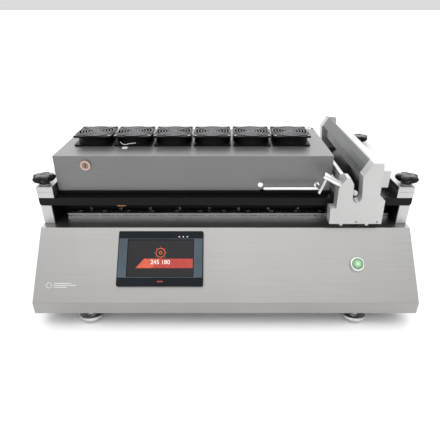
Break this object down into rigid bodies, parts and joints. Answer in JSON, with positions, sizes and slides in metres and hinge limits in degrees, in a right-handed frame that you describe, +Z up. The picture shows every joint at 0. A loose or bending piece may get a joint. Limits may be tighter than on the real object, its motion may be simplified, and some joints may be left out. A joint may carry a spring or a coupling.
{
  "type": "reflow oven",
  "caption": "Bench-top reflow station with a sloped steel console, a hot plate under a fan-cooled hinged hood and a sliding clamp carriage.",
  "frame": {"origin": "centre of the footprint, on the bench surface", "axes": "+X along the machine to its right-hand end, +Y away from the operator, +Z up"},
  "size_m": [0.9102, 0.56, 0.3877],
  "materials": {
    "console_steel": "satin",
    "foot_chrome": "polished",
    "bezel_plastic": "satin",
    "screen_glass": "glossy",
    "button_chrome": "polished",
    "lens_green": "glossy, lit",
    "contact_blue": "matte",
    "socket_black": "matte",
    "rocker_red": "glossy",
    "zinc_sheet": "satin",
    "insulation_board": "matte fibre board",
    "board_green": "satin",
    "relay_white": "matte",
    "terminal_ivory": "matte",
    "white_aluminium": "fine matte, anodised",
    "strip_black": "satin",
    "tip_copper": "polished",
    "rail_steel": "ground",
    "table_black": "anodised black",
    "plate_dark": "glossy glass-ceramic",
    "heater_steel": "satin",
    "zinc_screw": "bright zinc",
    "knob_black": "glossy",
    "hood_steel": "brushed",
    "seal_rubber": "matte",
    "handle_chrome": "polished",
    "fan_black": "satin",
    "guard_wire": "glossy black",
    "plate_grey": "brushed"
  },
  "bodies": {
    "console": {"console_shell": "console_steel", "bottom_plate": "console_steel", "rear_panel": "console_steel", "levelling_feet": "foot_chrome", "operator_bezel": "bezel_plastic", "operator_screen": "screen_glass", "operator_housing": "bezel_plastic", "button_ring": "button_chrome", "button_contacts": "contact_blue", "power_inlet": "socket_black", "rocker_frame": "socket_black", "power_supply": "zinc_sheet", "controller_board": "board_green", "solid_state_relays": "relay_white", "terminal_strip": "terminal_ivory", "side_rail_left": "white_aluminium", "side_rail_right": "white_aluminium", "side_liners": "strip_black", "scale_strip": "strip_black", "sensor_tip": "tip_copper", "front_rail": "rail_steel", "rear_rail": "rail_steel", "table_plate": "table_black", "heater_plate": "plate_dark", "insulation_tray": "insulation_board", "heater_rods": "heater_steel", "end_bar_left": "white_aluminium", "end_bar_right": "white_aluminium", "knob_studs": "zinc_screw", "hinge_leaves_table": "zinc_screw"},
    "button": {"button_lens": "lens_green"},
    "rocker": {"rocker_switch": "rocker_red"},
    "knob_front_left": {"knob_front_left": "knob_black"},
    "knob_front_right": {"knob_front_right": "knob_black"},
    "knob_rear_left": {"knob_rear_left": "knob_black"},
    "knob_rear_right": {"knob_rear_right": "knob_black"},
    "hood": {"hinge_leaves_hood": "zinc_screw", "hood_shell": "hood_steel", "hood_seal": "seal_rubber", "hood_handle": "handle_chrome", "hood_lock": "button_chrome", "fan_frames": "fan_black", "fan_guards": "guard_wire"},
    "lock": {"lock_cylinder": "button_chrome"},
    "carriage": {"carriage_front_plate": "white_aluminium", "carriage_rear_plate": "white_aluminium", "cross_plate": "plate_grey", "carriage_beam": "white_aluminium", "carriage_rib": "white_aluminium", "front_rail_block": "white_aluminium", "rear_rail_block": "white_aluminium", "carriage_screws": "zinc_screw", "clamp_nut": "zinc_screw"},
    "clamp": {"clamp_lever": "handle_chrome"},
    "fan_1": {"fan_rotor_1": "fan_black"},
    "fan_2": {"fan_rotor_2": "fan_black"},
    "fan_3": {"fan_rotor_3": "fan_black"},
    "fan_4": {"fan_rotor_4": "fan_black"},
    "fan_5": {"fan_rotor_5": "fan_black"},
    "fan_6": {"fan_rotor_6": "fan_black"}
  },
  "joints": [
    {"name": "hood_hinge", "type": "hinge", "parent": "console", "child": "hood", "pos_m": [0, 0.124, 0.2705], "axis": [-1, 0, 0], "range_deg": [0, 70]},
    {"name": "lock_turn", "type": "hinge", "parent": "hood", "child": "lock", "pos_m": [-0.326, -0.115, 0.338], "axis": [0, 1, 0], "range_deg": [0, 90]},
    {"name": "carriage_slide", "type": "slide", "parent": "console", "child": "carriage", "axis": [1, 0, 0], "range_m": [-0.007, 0.007]},
    {"name": "clamp_swing", "type": "hinge", "parent": "carriage", "child": "clamp", "pos_m": [0.25992, -0.162, 0.308], "axis": [-0.866, 0, 0.5], "range_deg": [0, 140]},
    {"name": "button_press", "type": "slide", "parent": "console", "child": "button", "axis": [0, 0.7361, -0.6769], "range_m": [0, 0.003], "stiffness_N_per_m": 500, "springref_m": -0.002},
    {"name": "rocker_tip", "type": "hinge", "parent": "console", "child": "rocker", "pos_m": [0.3, 0.264, 0.08], "axis": [0, 0, 1], "range_deg": [0, 20]},
    {"name": "knob_front_left_turn", "type": "hinge", "parent": "console", "child": "knob_front_left", "pos_m": [-0.4285, -0.118, 0.305], "axis": [0, 0, 1], "range_deg": [0, 360]},
    {"name": "knob_rear_left_turn", "type": "hinge", "parent": "console", "child": "knob_rear_left", "pos_m": [-0.4285, 0.208, 0.305], "axis": [0, 0, 1], "range_deg": [0, 360]},
    {"name": "knob_front_right_turn", "type": "hinge", "parent": "console", "child": "knob_front_right", "pos_m": [0.4285, -0.118, 0.305], "axis": [0, 0, 1], "range_deg": [0, 360]},
    {"name": "knob_rear_right_turn", "type": "hinge", "parent": "console", "child": "knob_rear_right", "pos_m": [0.414, 0.208, 0.305], "axis": [0, 0, 1], "range_deg": [0, 360]},
    {"name": "fan_1_spin", "type": "hinge", "parent": "hood", "child": "fan_1", "pos_m": [-0.3255, 0.004, 0.374], "axis": [0, 0, 1], "continuous": true},
    {"name": "fan_2_spin", "type": "hinge", "parent": "hood", "child": "fan_2", "pos_m": [-0.2277, 0.004, 0.374], "axis": [0, 0, 1], "continuous": true},
    {"name": "fan_3_spin", "type": "hinge", "parent": "hood", "child": "fan_3", "pos_m": [-0.1299, 0.004, 0.374], "axis": [0, 0, 1], "continuous": true},
    {"name": "fan_4_spin", "type": "hinge", "parent": "hood", "child": "fan_4", "pos_m": [-0.0321, 0.004, 0.374], "axis": [0, 0, 1], "continuous": true},
    {"name": "fan_5_spin", "type": "hinge", "parent": "hood", "child": "fan_5", "pos_m": [0.0657, 0.004, 0.374], "axis": [0, 0, 1], "continuous": true},
    {"name": "fan_6_spin", "type": "hinge", "parent": "hood", "child": "fan_6", "pos_m": [0.1635, 0.004, 0.374], "axis": [0, 0, 1], "continuous": true}
  ]
}
